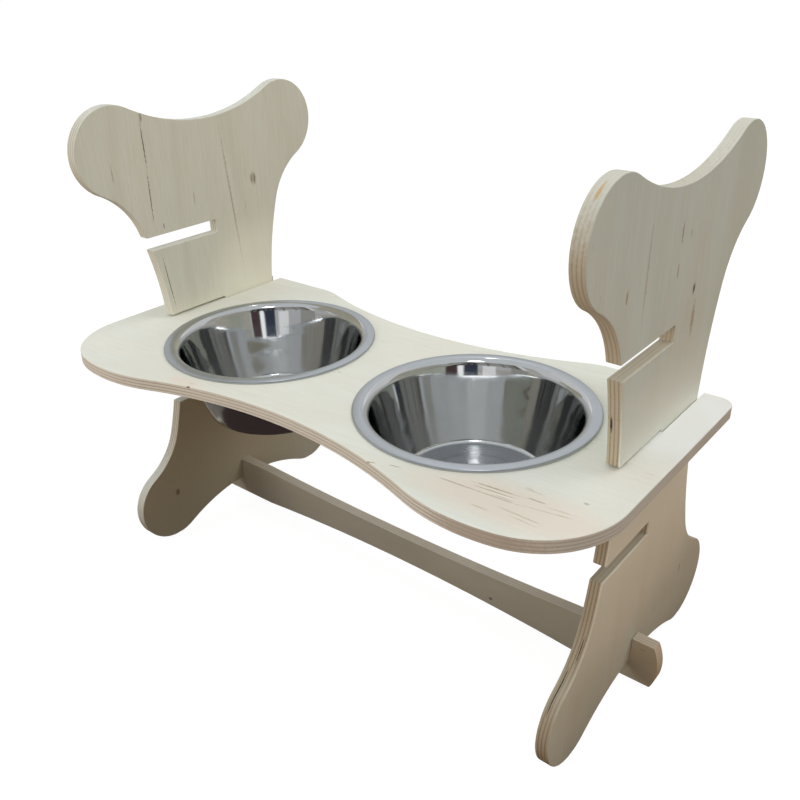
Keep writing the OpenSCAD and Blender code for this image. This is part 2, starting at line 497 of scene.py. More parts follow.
@dataclass(frozen=True)
class PlywoodFinish:
    """Bare sanded plywood: a pale face veneer with its grain, and brown cross plies in the edges."""

    name: str
    face: Colour
    face_dark: Colour
    blush: Colour
    streak: Colour
    edge: Colour
    end_edge: Colour
    cross_ply: Colour
    seed: float
    lean: float = 0.0
    figure: float = 0.16
    fibre: float = 0.22
    pores: float = 0.3
    line_strength: float = 0.8
    end_line_share: float = 0.3
    edge_share: float = 0.75
    # How much paler the rounded edges turn: partly wear, partly a painted highlight.
    edge_wear_and_highlight: float = 0.25
    roughness: tuple[float, float] = (0.52, 0.7)
    specular: float = 0.35
    fibre_height: float = 0.35
    pore_depth: float = 0.5
    cross_ply_depth: float = 0.6
    saw_fuzz: float = 0.6
    dent_depth: float = 1.2
    relief_strength: float = 0.35
    relief_reach: float = 0.25 * MM
    ply_wander: float = 1.0 * MM
    ply_blur: float = 0.22 * MM
    plies: tuple[float, ...] = (2.2 * MM, 1.1 * MM, 2.0 * MM, 1.2 * MM, 2.1 * MM, 1.1 * MM, 2.3 * MM)

    def ply_lines(self, graph: Graph, board: BoardCoordinates, wander: Socket) -> Socket:
        """Gives where the edges show a cross ply.

        Args:
            graph: The material's graph.
            board: The board's coordinates.
            wander: Slow noise about 0 that lets the plies wander.

        Returns:
            1 in a cross ply and 0 in the others.
        """
        thickness = sum(self.plies)
        spot = graph.math("MULTIPLY_ADD", wander, self.ply_wander, board.through)
        share = graph.math("DIVIDE", graph.math("ADD", spot, thickness / 2), thickness)
        ramp = graph.add("ShaderNodeValToRGB", None, {0: share})
        stops = ramp.color_ramp.elements
        stops[0].position, stops[0].color = 0.0, (0.0, 0.0, 0.0, 1.0)
        stops[1].position, stops[1].color = 1.0, (0.0, 0.0, 0.0, 1.0)
        depth = 0.0
        soft = self.ply_blur / thickness
        for place, ply in enumerate(self.plies[:-1]):
            depth += ply / thickness
            for shift, level in ((-soft, float(place % 2)), (soft, float((place + 1) % 2))):
                stop = stops.new(depth + shift)
                stop.color = (level, level, level, 1.0)
        return ramp.outputs[0]

    def face_colour(self, graph: Graph, grain: WoodGrain) -> Socket:
        """Gives the colour of the face veneer.

        Args:
            graph: The material's graph.
            grain: The board's grain.

        Returns:
            The colour.
        """
        colour = graph.mix(graph.span(grain.cloud, 0.3, 0.72), self.face, self.face_dark)
        colour = graph.mix(graph.span(grain.patch, 0.45, 0.7, 0.0, 0.35), colour, self.blush)
        colour = graph.mix(graph.span(grain.contour, 0.55, 1.0, 0.0, self.figure), colour, self.streak)
        colour = graph.mix(graph.span(grain.fibre, 0.35, 0.75, 0.0, self.fibre), colour, self.streak)
        return graph.mix(graph.math("MULTIPLY", grain.pore, self.pores), colour, self.cross_ply)

    def edge_lines(self, graph: Graph, board: BoardCoordinates, grain: WoodGrain, lines: Socket) -> Socket:
        """Gives how strongly the cross plies show.

        Args:
            graph: The material's graph.
            board: The board's coordinates.
            grain: The board's grain.
            lines: Where a cross ply lies.

        Returns:
            The share of the cross plies' colour.
        """
        contrast = graph.span(board.facing_across, 0.25, 0.85, self.end_line_share, self.line_strength)
        shown = graph.math("MULTIPLY", lines, contrast)
        shown = graph.math("MULTIPLY", shown, graph.span(grain.fuzz, 0.2, 0.7, 1.0, 0.6))
        return graph.math("MULTIPLY", shown, graph.span(grain.patch, 0.35, 0.65, 1.0, 0.55))

    def relief(
        self, graph: Graph, grain: WoodGrain, cross: Socket, rough: Socket, dents: Sequence[Socket]
    ) -> Socket:
        """Gives the bumped surface.

        Args:
            graph: The material's graph.
            grain: The board's grain.
            cross: Where an edge shows a cross ply.
            rough: Where the sawn edge is fuzzy.
            dents: Where the surface lies deeper.

        Returns:
            The surface's direction.
        """
        height = graph.math("MULTIPLY", grain.fibre, self.fibre_height)
        height = graph.math("MULTIPLY_ADD", grain.pore, -self.pore_depth, height)
        height = graph.math("MULTIPLY_ADD", cross, -self.cross_ply_depth, height)
        height = graph.math("MULTIPLY_ADD", rough, self.saw_fuzz, height)
        for dent in dents:
            height = graph.math("MULTIPLY_ADD", dent, -self.dent_depth, height)
        inputs = {"Strength": self.relief_strength, "Distance": self.relief_reach, "Height": height}
        return graph.add("ShaderNodeBump", None, inputs).outputs[0]

    def material(self, place: BoardPlace, blemishes: Sequence[Blemish]) -> Material:
        """Makes the finish for one board.

        Args:
            place: How the board lies.
            blemishes: The board's own knots, cracks and slits.

        Returns:
            The material.
        """
        made, graph = bare_material(self.name)
        board = BoardCoordinates.of(graph, place)
        grain = WoodGrain.of(graph, board, self.seed, self.lean)
        on_edge = board.on_edge(graph)
        lines = graph.math("MULTIPLY", self.ply_lines(graph, board, grain.wander), on_edge)

        colour = self.face_colour(graph, grain)
        edge = graph.mix(graph.span(board.facing_along, 0.45, 0.9), self.edge, self.end_edge)
        colour = graph.mix(graph.math("MULTIPLY", on_edge, self.edge_share), colour, edge)
        colour = graph.mix(self.edge_lines(graph, board, grain, lines), colour, self.cross_ply)
        # The rounded edges turn paler: partly worn wood, partly a painted highlight on the bevel.
        off_edge = graph.span(board.facing_through, 0.3, 0.7)
        off_face = graph.span(board.facing_through, 0.98, 0.8, 0.0, self.edge_wear_and_highlight)
        colour = graph.mix(graph.math("MULTIPLY", off_edge, off_face), colour, PALE_WEAR_AND_HIGHLIGHT)
        dents = []
        for blemish in blemishes:
            mask = blemish.mask(graph, board, grain.ragged)
            colour = graph.mix(mask, colour, blemish.colour)
            if blemish.depth:
                dents.append(graph.math("MULTIPLY", mask, blemish.depth))

        fuzz = graph.math("MULTIPLY", grain.fuzz, on_edge)
        inputs = {
            "Base Color": colour,
            "Roughness": graph.span(grain.fibre, 0.2, 0.8, *self.roughness),
            "Specular IOR Level": self.specular,
            "Normal": self.relief(graph, grain, lines, fuzz, dents),
        }
        shader = graph.add("ShaderNodeBsdfPrincipled", None, inputs)
        graph.show(shader)
        return made


@dataclass(frozen=True)
class SteelFinish:
    """Stainless steel as it leaves the spinning lathe: satin, polished or ringed."""

    name: str
    colour: Colour
    roughness: float
    roughness_spread: float
    ring_bump: float
    streak_bump: float = 0.0
    anisotropy: float = 0.0
    lower_haze: float = 0.0
    haze_heights: tuple[float, float] = (-25.0 * MM, -65.0 * MM)
    ring_drift: float = 0.0006
    smudge_shade: float = 0.86
    relief_strength: float = 0.25
    relief_reach: float = 0.2 * MM

    def material(self) -> Material:
        """Makes the finish.

        Returns:
            The material.
        """
        made, graph = bare_material(self.name)
        source = graph.add("ShaderNodeTexCoord").outputs["Object"]
        spot = graph.split(source)
        square = graph.math("ADD", graph.math("POWER", spot[0], 2.0), graph.math("POWER", spot[1], 2.0))
        turn = graph.math("ARCTAN2", spot[1], spot[0])
        drift = graph.math("MULTIPLY", turn, self.ring_drift)
        rings = graph.noise(graph.vector(graph.math("SQRT", square), spot[2], drift), 1400.0, 2.0, 0.6)
        level = graph.math("MULTIPLY", spot[2], 2.0)
        round_axis = graph.vector(graph.math("COSINE", turn), graph.math("SINE", turn), level)
        streaks = graph.noise(round_axis, 14.0, 3.0, 0.6)
        smudge = graph.noise(source, 32.0, 3.0, 0.6)
        height = graph.math("MULTIPLY", rings, self.ring_bump)
        height = graph.math("MULTIPLY_ADD", streaks, self.streak_bump, height)
        relief = {"Strength": self.relief_strength, "Distance": self.relief_reach, "Height": height}
        smudged = tuple(self.smudge_shade * channel for channel in self.colour[:3]) + (1.0,)
        low = self.roughness - self.roughness_spread / 2
        roughness = graph.span(rings, 0.3, 0.7, low, low + self.roughness_spread)
        haze = graph.span(spot[2], *self.haze_heights, 0.0, self.lower_haze)
        tangent = graph.add("ShaderNodeTangent", {"direction_type": "RADIAL", "axis": "Z"})
        inputs = {
            "Base Color": graph.mix(graph.span(smudge, 0.35, 0.75, 0.0, 0.35), self.colour, smudged),
            "Metallic": 1.0,
            "Roughness": graph.math("ADD", roughness, haze),
            "Anisotropic": self.anisotropy,
            "Anisotropic Rotation": 0.25,
            "Tangent": tangent.outputs[0],
            "Normal": graph.add("ShaderNodeBump", None, relief).outputs[0],
        }
        shader = graph.add("ShaderNodeBsdfPrincipled", None, inputs)
        graph.show(shader)
        return made


CRACK = paint(92, 78, 60)
KNOT = paint(120, 98, 72)
TEAR = paint(164, 138, 107)
BROWN_STREAK = paint(172, 150, 122)
FAINT_STREAK = paint(190, 174, 152)
HOLLOW = paint(44, 32, 20)
AMBER = paint(200, 160, 104)
BLUSH = paint(230, 218, 201)
SAWN = paint(178, 162, 146)
# Pale wood for rounded edges and streaks: partly wear, partly a painted highlight.
PALE_WEAR_AND_HIGHLIGHT = paint(236, 231, 216)
# Painted light: a pale wash for the edges at the top of the right panel, as lit from above.
PAINTED_TOP_LIGHT = paint(226, 228, 217)
# Painted shade: a brown wash for the left leg's inner face under the shelf.
PAINTED_FOOT_SHADE = paint(197, 187, 159)
# Painted light: a pale wash for the right panel round the shelf and for the left foot's front edges.
PAINTED_PALE_LIGHT = paint(236, 238, 225)
# Painted light: a near-white wash for the shelf's right back end.
PAINTED_BRIGHT_LIGHT = paint(251, 252, 249)
# Painted light: a warm pale wash for the left panel just above the shelf and for the right leg.
PAINTED_WARM_LIGHT = paint(252, 249, 228)

PANEL_PLYWOOD = PlywoodFinish(
    name="left_panel_plywood",
    face=paint(230, 229, 212),
    face_dark=paint(225, 222, 202),
    blush=paint(229, 220, 200),
    streak=paint(199, 189, 165),
    edge=paint(211, 207, 191),
    end_edge=paint(215, 214, 203),
    cross_ply=paint(148, 118, 86),
    seed=0.4,
)
SHELF_PLYWOOD = replace(
    PANEL_PLYWOOD,
    name="shelf_plywood",
    face=paint(233, 234, 223),
    face_dark=paint(230, 228, 214),
    blush=paint(234, 225, 210),
    streak=paint(213, 204, 185),
    edge=paint(222, 212, 196),
    end_edge=paint(205, 205, 196),
    cross_ply=paint(150, 122, 96),
    seed=7.7,
    lean=0.07,
    pores=0.4,
    end_line_share=0.75,
)


@dataclass
class Board:
    """A plywood board of the stand, shown as its solid with eased edges and its own finish."""

    node: str
    finish: PlywoodFinish
    place: BoardPlace
    blemishes: tuple[Blemish, ...]
    ease: float
    ease_steps: int = 3
    sharp_angle: float = math.radians(35)
    flat_angle: float = math.radians(0.4)
    corner_reach: float = 0.01 * MM

    def ease_edges(self, board: Piece) -> None:
        """Rounds the board's sharp edges as light sanding does.

        Args:
            board: The board's object.
        """
        weld = board.modifiers.new("join_corners", "WELD")
        weld.merge_threshold = self.corner_reach
        flat = board.modifiers.new("clear_faces", "DECIMATE")
        flat.decimate_type = "DISSOLVE"
        flat.angle_limit = self.flat_angle
        bevel = board.modifiers.new("eased_edges", "BEVEL")
        bevel.width = self.ease
        bevel.segments = self.ease_steps
        bevel.limit_method = "ANGLE"
        bevel.angle_limit = self.sharp_angle
        bevel.use_clamp_overlap = False
        bevel.miter_outer = "MITER_ARC"
        normals = board.modifiers.new("clean_shading", "WEIGHTED_NORMAL")
        normals.weight = 100
        normals.keep_sharp = False

    def dress(self, board: Piece) -> None:
        """Gives the board its finish.

        Args:
            board: The board's object.
        """
        board.data.materials.clear()
        board.data.materials.append(self.finish.material(self.place, self.blemishes))

    def build(self) -> list[Piece]:
        """Makes the board ready.

        Returns:
            The board's object.
        """
        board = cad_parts[self.node]
        self.ease_edges(board)
        self.dress(board)
        return [board]


@dataclass
class SidePanels:
    """The two bone-shaped side panels, whose grain stands upright."""

    ease: float = 0.7 * MM

    def left_marks(self) -> tuple[Blemish, ...]:
        """Lists the left panel's marks.

        Returns:
            The marks.
        """
        return (
            FaceMark(0.458, -0.0577, 0.028, 0.0009, CRACK, 0.9, 0.0, 0.0020),
            FaceMark(0.405, -0.0587, 0.036, 0.0008, CRACK, 0.85, 0.02, 0.0020),
            FaceMark(0.484, -0.0560, 0.006, 0.0022, KNOT, 0.55),
            FaceMark(0.372, -0.0475, 0.004, 0.0009, CRACK, 0.8),
            FaceMark(0.376, 0.0485, 0.105, 0.0016, BROWN_STREAK, 0.6, -0.085, 0.003),
            FaceMark(0.398, 0.0829, 0.0095, 0.0055, KNOT, 0.45),
            FaceMark(0.397, 0.0852, 0.0070, 0.0014, KNOT, 0.75),
            FaceMark(0.398, 0.0802, 0.0060, 0.0012, KNOT, 0.6),
            FaceMark(0.311, -0.0515, 0.037, 0.0007, CRACK, 0.9, -0.13, 0.001),
            FaceMark(0.435, -0.0988, 0.012, 0.0010, BROWN_STREAK, 0.6),
            FaceMark(0.392, -0.0035, 0.010, 0.0010, BROWN_STREAK, 0.6),
            # Painted shade: a brown wash over the left leg's inner face below the shelf.
            FaceMark(0.070, -0.0600, 0.200, 0.300, PAINTED_FOOT_SHADE, 0.9, depth=0.0),
            # Painted light on the left panel's inner face just above the shelf.
            FaceMark(0.300, 0.0750, 0.070, 0.085, PAINTED_WARM_LIGHT, 0.5, depth=0.0),
            FaceMark(0.055, -0.0847, 0.0060, 0.0040, KNOT, 0.7),
            # Painted light on the front edges of the left foot.
            EdgeMark(0.040, 0.0, 0.090, 40.0 * MM, -0.05, PAINTED_PALE_LIGHT, 0.8, 0.0),
        )

    def right_marks(self) -> tuple[Blemish, ...]:
        """Lists the right panel's marks.

        Returns:
            The marks.
        """
        return (
            # Painted light: bounce light from the shelf, painted on the right panel's outer face round the
            # shelf.
            FaceMark(0.240, 0.0000, 0.125, 0.300, PAINTED_PALE_LIGHT, 0.72, depth=0.0),
            # Painted light on the right leg's outer face below the shelf.
            FaceMark(0.165, 0.0000, 0.120, 0.300, PAINTED_WARM_LIGHT, 0.42, depth=0.0),
            FaceMark(0.385, 0.0505, 0.0065, 0.0030, CRACK, 0.95),
            FaceMark(0.358, 0.0560, 0.019, 0.0040, BROWN_STREAK, 0.75, 0.0, 0.004),
            FaceMark(0.439, 0.0129, 0.012, 0.0012, KNOT, 0.85),
            FaceMark(0.409, 0.0125, 0.008, 0.0018, BROWN_STREAK, 0.9),
            FaceMark(0.434, 0.0302, 0.004, 0.0014, BROWN_STREAK, 0.7),
            FaceMark(0.414, -0.0728, 0.007, 0.0022, BROWN_STREAK, 0.85),
            FaceMark(0.425, -0.0430, 0.048, 0.0022, BROWN_STREAK, 0.45, 0.02, 0.003),
            FaceMark(0.0706, 0.1195, 0.0075, 0.0012, KNOT, 0.9),
            # Painted light: the right panel's top edges are paler, as lit from above.
            EdgeMark(0.520, 0.0, 0.075, 40.0 * MM, 0.2, PAINTED_TOP_LIGHT, 0.5, 0.0),
            EdgeMark(0.309, -2.7 * MM, 0.0095, 1.3 * MM, -0.045, HOLLOW),
            EdgeMark(0.110, 1.6 * MM, 0.0130, 0.7 * MM, -0.020, HOLLOW),
            EdgeMark(0.085, -1.8 * MM, 0.0180, 0.8 * MM, -0.020, HOLLOW),
            EdgeMark(0.4925, 0.5 * MM, 0.0060, 1.9 * MM, -0.098, AMBER, 0.8, 0.0),
        )

    def build(self) -> list[Piece]:
        """Makes both panels ready.

        Returns:
            The panels' objects.
        """
        right_plywood = replace(
            PANEL_PLYWOOD,
            name="right_panel_plywood",
            face=paint(209, 216, 205),
            face_dark=paint(203, 208, 194),
            blush=paint(209, 206, 193),
            edge=paint(180, 160, 128),
            end_edge=paint(184, 168, 140),
            cross_ply=paint(128, 95, 61),
            seed=3.1,
        )
        left_place = BoardPlace.of_node("left_side_panel", Axis.Z, Axis.Y, Axis.X)
        right_place = BoardPlace.of_node("right_side_panel", Axis.Z, Axis.Y, Axis.X)
        left = Board("left_side_panel", PANEL_PLYWOOD, left_place, self.left_marks(), self.ease)
        right = Board("right_side_panel", right_plywood, right_place, self.right_marks(), self.ease)
        return left.build() + right.build()


@dataclass
class Shelf:
    """The waisted shelf, whose grain runs from bowl to bowl."""

    ease: float = 0.7 * MM

    def marks(self) -> tuple[Blemish, ...]:
        """Lists the shelf's marks.

        Returns:
            The marks.
        """
        return (
            # Painted light on the shelf's right back end, beside the right panel.
            FaceMark(0.285, 0.0450, 0.075, 0.100, PAINTED_BRIGHT_LIGHT, 0.8, depth=0.0),
            FaceMark(0.232, -0.1420, 0.110, 0.036, BLUSH, 0.85, 0.07, 0.02, depth=0.0),
            FaceMark(-0.118, -0.1520, 0.030, 0.012, BLUSH, 0.8, 0.0, 0.01, depth=0.0),
            FaceMark(0.220, -0.1353, 0.022, 0.0014, PALE_WEAR_AND_HIGHLIGHT, 0.8, 0.09, 0.0008, depth=0.0),
            FaceMark(0.188, -0.1417, 0.0230, 0.0010, TEAR, 0.62, 0.065, 0.0006),
            FaceMark(0.219, -0.1397, 0.0260, 0.0009, TEAR, 0.55, 0.065, 0.0006),
            FaceMark(0.214, -0.1302, 0.0265, 0.0011, TEAR, 0.74, 0.094, 0.0006),
            FaceMark(0.216, -0.1343, 0.0220, 0.0009, TEAR, 0.65, 0.090, 0.0006),
            FaceMark(0.224, -0.1372, 0.0130, 0.0007, TEAR, 0.45, 0.075, 0.0006),
            FaceMark(0.238, -0.1168, 0.0100, 0.0008, KNOT, 0.32, 0.040, 0.0006),
            FaceMark(0.234, -0.1151, 0.0050, 0.0006, KNOT, 0.30),
            FaceMark(0.246, -0.1260, 0.0100, 0.0010, KNOT, 0.55, 0.030, 0.0006),
            FaceMark(0.239, -0.1488, 0.0150, 0.0008, TEAR, 0.45, 0.0, 0.0006),
            FaceMark(0.253, -0.1492, 0.0130, 0.0009, TEAR, 0.45, 0.0, 0.0006),
            FaceMark(0.251, -0.1536, 0.0150, 0.0007, TEAR, 0.38, -0.060, 0.0006),
            FaceMark(0.257, -0.1344, 0.0270, 0.0008, FAINT_STREAK, 0.52, 0.174, 0.0006),
            FaceMark(0.266, -0.1275, 0.0150, 0.0008, FAINT_STREAK, 0.60, 0.120, 0.0006),
            FaceMark(0.271, -0.1318, 0.0080, 0.0008, TEAR, 0.35, 0.190, 0.0006),
            FaceMark(0.276, -0.1082, 0.0028, 0.0020, KNOT, 0.45),
            FaceMark(0.218, -0.1574, 0.0100, 0.0007, FAINT_STREAK, 0.8, 0.03, 0.0010),
            FaceMark(-0.016, -0.0497, 0.0035, 0.0006, KNOT, 0.8, 0.3),
            FaceMark(0.134, -0.1502, 0.0065, 0.0007, TEAR, 0.85, 0.2, 0.0010),
            FaceMark(0.115, -0.1571, 0.0055, 0.0012, TEAR, 0.8, 0.26, 0.0010),
            FaceMark(-0.108, -0.1568, 0.0026, 0.0020, CRACK, 0.85),
            FaceMark(-0.111, -0.1500, 0.0045, 0.0005, BROWN_STREAK, 0.7, 0.3),
            EdgeMark(0.232, 0.0, 0.055, 14.0 * MM, -0.150, SAWN, 0.75, 0.0),
        )

    def build(self) -> list[Piece]:
        """Makes the shelf ready.

        Returns:
            The shelf's object.
        """
        place = BoardPlace.of_node("shelf", Axis.X, Axis.Y, Axis.Z)
        return Board("shelf", SHELF_PLYWOOD, place, self.marks(), self.ease).build()


@dataclass
class Stretcher:
    """The waisted stretcher between the panels' feet."""

    ease: float = 0.7 * MM

    def build(self) -> list[Piece]:
        """Makes the stretcher ready.

        Returns:
            The stretcher's object.
        """
        finish = replace(
            PANEL_PLYWOOD,
            name="stretcher_plywood",
            face=paint(205, 198, 180),
            face_dark=paint(199, 190, 168),
            edge=paint(195, 187, 169),
            end_edge=paint(212, 200, 178),
            seed=12.3,
            line_strength=0.5,
        )
        marks = (
            FaceMark(0.287, 0.0450, 0.004, 0.0008, BROWN_STREAK, 0.9, 0.0, 0.0, FaceSide.LOWER),
            FaceMark(0.120, 0.0200, 0.003, 0.0020, CRACK, 0.8, 0.0, 0.0, FaceSide.LOWER),
        )
        place = BoardPlace.of_node("stretcher", Axis.X, Axis.Z, Axis.Y)
        return Board("stretcher", finish, place, marks, self.ease).build()


@dataclass(frozen=True)
class Corner:
    """A corner of a bowl's section: distance from the axis, height over the shelf, and bend radius."""

    out: float
    height: float
    bend: float = 0.0


def rounded(corners: Sequence[Corner], step: float) -> list[Point2]:
    """Follows a path of corners and rounds each inner one.

    Args:
        corners: The path's corners.
        step: Largest turn between neighbouring points of a bend, in radians.

    Returns:
        The path's points.
    """
    points: list[Point2] = [(corners[0].out, corners[0].height)]
    for before, corner, after in zip(corners, corners[1:], corners[2:]):
        middle = Vector((corner.out, corner.height))
        back = (Vector((before.out, before.height)) - middle).normalized()
        ahead = (Vector((after.out, after.height)) - middle).normalized()
        opening = math.acos(max(-1.0, min(1.0, back.dot(ahead))))
        centre = middle + (back + ahead).normalized() * (corner.bend / math.sin(opening / 2))
        start = middle + back * (corner.bend / math.tan(opening / 2)) - centre
        sweep = math.pi - opening
        turn_left = (back.x * ahead.y - back.y * ahead.x) < 0
        count = max(2, math.ceil(sweep / step))
        for index in range(count + 1):
            angle = sweep * index / count * (1 if turn_left else -1)
            spoke = Matrix.Rotation(angle, 2) @ start
            points.append((centre.x + spoke.x, centre.y + spoke.y))
    points.append((corners[-1].out, corners[-1].height))
    return points


def subdivided(points: Sequence[Point2], longest: float) -> list[Point2]:
    """Splits long stretches of a path.

    Args:
        points: The path.
        longest: Longest stretch that stays whole.

    Returns:
        The path with added points.
    """
    made: list[Point2] = [points[0]]
    for (a, b), (c, d) in zip(points, points[1:]):
        count = max(1, math.ceil(math.hypot(c - a, d - b) / longest))
        made += [(a + (c - a) * i / count, b + (d - b) * i / count) for i in range(1, count + 1)]
    return made


def beside(points: Sequence[Point2], shift: float) -> list[Point2]:
    """Moves a path sideways, to the left of its way.

    Args:
        points: The path.
        shift: Distance of the move.

    Returns:
        The moved path.
    """
    made: list[Point2] = []
    for index, (out, height) in enumerate(points):
        before = Vector(points[max(index - 1, 0)])
        after = Vector(points[min(index + 1, len(points) - 1)])
        way = (after - before).normalized()
        made.append((max(0.0, out - way.y * shift), height + way.x * shift))
    return made


@dataclass
class Bowl:
    """A spun steel bowl that hangs by its rim in the shelf's hole and lifts out."""

    body: Body
    turned: float
    wall: float = 1.0 * MM
    around: int = 256
    bend_step: float = math.radians(7)
    longest_stretch: float = 4.0 * MM
    flange_inner: float = 99.0 * MM
    flange_low: float = 0.8 * MM
    base_outer: float = 67.0 * MM
    base_high: float = -74.0 * MM
    axis_reach: float = 1e-7
    corners: tuple[Corner, ...] = (
        Corner(108.0 * MM, 0.0),
        Corner(108.0 * MM, 1.9 * MM, 1.2 * MM),
        Corner(95.5 * MM, 3.2 * MM, 9.0 * MM),
        Corner(81.9 * MM, -47.0 * MM, 400.0 * MM),
        Corner(70.5 * MM, -76.0 * MM, 5.0 * MM),
        Corner(49.0 * MM, -76.0 * MM, 3.0 * MM),
        Corner(43.0 * MM, -75.0 * MM, 3.0 * MM),
        Corner(0.0, -75.0 * MM),
    )

    def zone(self, out: float, height: float) -> SteelZone:
        """Gives the finish of a place on the inside.

        Args:
            out: Distance from the axis.
            height: Height over the shelf.

        Returns:
            The zone of the finish.
        """
        if height > self.flange_low and out > self.flange_inner:
            return SteelZone.FLANGE
        return SteelZone.BASE if height < self.base_high and out < self.base_outer else SteelZone.WALL

    def section(self) -> tuple[list[Point2], list[SteelZone]]:
        """Draws the sheet's closed section.

        Returns:
            The points from the middle of the inside over the rim to the middle of the underside, and the
            zone of each stretch between them.
        """
        path = subdivided(rounded(self.corners, self.bend_step), self.longest_stretch)
        inside = list(reversed(beside(path, -self.wall / 2)))
        outside = beside(path, self.wall / 2)
        zones = [self.zone((a + c) / 2, (b + d) / 2) for (a, b), (c, d) in zip(inside, inside[1:])]
        zones += [SteelZone.FLANGE] + [SteelZone.UNDERSIDE] * (len(outside) - 1)
        return inside + outside, zones

    def shape(self) -> bpy.types.Mesh:
        """Spins the section round the bowl's axis.

        Returns:
            The bowl's mesh about its own axis, with the shelf's top at height 0.
        """
        section, zones = self.section()
        points: list[tuple[float, float, float]] = []
        rings: list[list[int]] = []
        for out, height in section:
            first = len(points)
            if out < self.axis_reach:
                points.append((0.0, 0.0, height))
                rings.append([first] * self.around)
                continue
            for index in range(self.around):
                angle = 2 * math.pi * index / self.around
                points.append((out * math.cos(angle), out * math.sin(angle), height))
            rings.append(list(range(first, first + self.around)))
        faces: list[list[int]] = []
        slots: list[int] = []
        for near, far, zone in zip(rings, rings[1:], zones):
            for index in range(self.around):
                following = (index + 1) % self.around
                loop = [near[index], far[index], far[following], near[following]]
                faces.append(list(dict.fromkeys(loop)))
                slots.append(zone.value)
        mesh = bpy.data.meshes.new(self.body.value)
        mesh.from_pydata(points, [], faces)
        mesh.polygons.foreach_set("material_index", slots)
        mesh.polygons.foreach_set("use_smooth", [True] * len(faces))
        mesh.update()
        return mesh

    def place(self) -> Matrix:
        """Gives where the bowl hangs.

        Returns:
            The place over its solid's middle, with its rim on the shelf.
        """
        low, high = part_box(self.body.value)
        middle = ((low[0] + high[0]) / 2, (low[1] + high[1]) / 2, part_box(Body.SHELF.value)[1][2])
        return Matrix.Translation(middle) @ Matrix.Rotation(self.turned, 4, "Z")

    def dress(self, bowl: Piece, finishes: dict[SteelZone, Material]) -> None:
        """Gives the bowl its finishes.

        Args:
            bowl: The bowl's object.
            finishes: The material of each zone.
        """
        for zone in SteelZone:
            bowl.data.materials.append(finishes[zone])

    def build(self, finishes: dict[SteelZone, Material]) -> list[Piece]:
        """Makes the bowl in its place.

        Args:
            finishes: The material of each zone.

        Returns:
            The bowl's object.
        """
        bowl = bpy.data.objects.new("spun_" + self.body.value, self.shape())
        bpy.context.scene.collection.objects.link(bowl)
        self.dress(bowl, finishes)
        bowl.matrix_world = self.place()
        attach(bowl, self.body.value)
        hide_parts(self.body.value)
        return [bowl]


def steel_finishes() -> dict[SteelZone, Material]:
    """Makes the finishes of the bowls' zones.

    Returns:
        The material of each zone.
    """
    finishes = {
        SteelZone.FLANGE: SteelFinish(
            "satin_steel", paint(178, 183, 188), roughness=0.32, roughness_spread=0.08, ring_bump=0.25
        ),
        SteelZone.WALL: SteelFinish(
            "polished_steel",
            paint(200, 202, 203),
            roughness=0.065,
            roughness_spread=0.04,
            ring_bump=0.04,
            streak_bump=0.10,
            lower_haze=0.07,
        ),
        SteelZone.BASE: SteelFinish(
            "ringed_steel",
            paint(154, 156, 159),
            roughness=0.30,
            roughness_spread=0.10,
            ring_bump=1.0,
            anisotropy=0.9,
        ),
        SteelZone.UNDERSIDE: SteelFinish(
            "plain_steel",
            paint(196, 198, 200),
            roughness=0.14,
            roughness_spread=0.06,
            ring_bump=0.05,
            streak_bump=0.10,
        ),
    }
    return {zone: finish.material() for zone, finish in finishes.items()}


def glowing(name: str, colour: Colour, strength: float) -> Material:
    """Makes a plain glowing surface.

    Args:
        name: The material's name.
        colour: Its colour.
        strength: Its strength.

    Returns:
        The material.
    """
    made, graph = bare_material(name)
    light = graph.add("ShaderNodeEmission", None, {"Color": colour, "Strength": strength})
    graph.show(light)
    return made


@dataclass(frozen=True)
class Sight:
    """Which rays meet a piece of the studio."""

    camera: bool = False
    diffuse: bool = False
    glossy: bool = False
    shadow: bool = False

    def stand(
        self, name: str, points: Sequence[Vector], faces: Sequence[tuple[int, ...]], finish: Material
    ) -> Piece:
        """Puts a piece of the studio in place.

        Args:
            name: The piece's name.
            points: Its corners.
            faces: The corners of each face.
            finish: Its material.

        Returns:
            The piece's object.
        """
        mesh = bpy.data.meshes.new(name)
        mesh.from_pydata([tuple(p) for p in points], [], list(faces))
        mesh.materials.append(finish)
        piece = bpy.data.objects.new(name, mesh)
        bpy.context.scene.collection.objects.link(piece)
        piece.visible_camera = self.camera
        piece.visible_diffuse = self.diffuse
        piece.visible_glossy = self.glossy
        piece.visible_shadow = self.shadow
        return piece


@dataclass(frozen=True)
class CardRow:
    """Cards that reach from one height to another at one distance from the stand's middle."""

    low: float
    high: float
    distance: float


@dataclass(frozen=True)
class Card:
    """A plain card beside the stage that only the steel's reflections see, its place and width in degrees."""

    name: str
    row: CardRow
    azimuth: float
    width: float
    colour: Colour
    glow: float = 1.0

    def build(self) -> Piece:
        """Stands the card up.

        Returns:
            The card's object.
        """
        angle = math.radians(self.azimuth)
        half = self.row.distance * math.tan(math.radians(self.width / 2))
        outward = Vector((math.sin(angle), -math.cos(angle), 0.0)) * self.row.distance
        aside = Vector((math.cos(angle), math.sin(angle), 0.0)) * half
        low, high = Vector((0, 0, self.row.low)), Vector((0, 0, self.row.high))
        first, second = outward - aside, outward + aside
        points = [first + low, second + low, second + high, first + high]
        finish = glowing(self.name, self.colour, self.glow)
        return Sight(glossy=True).stand(self.name, points, [(0, 1, 2, 3)], finish)


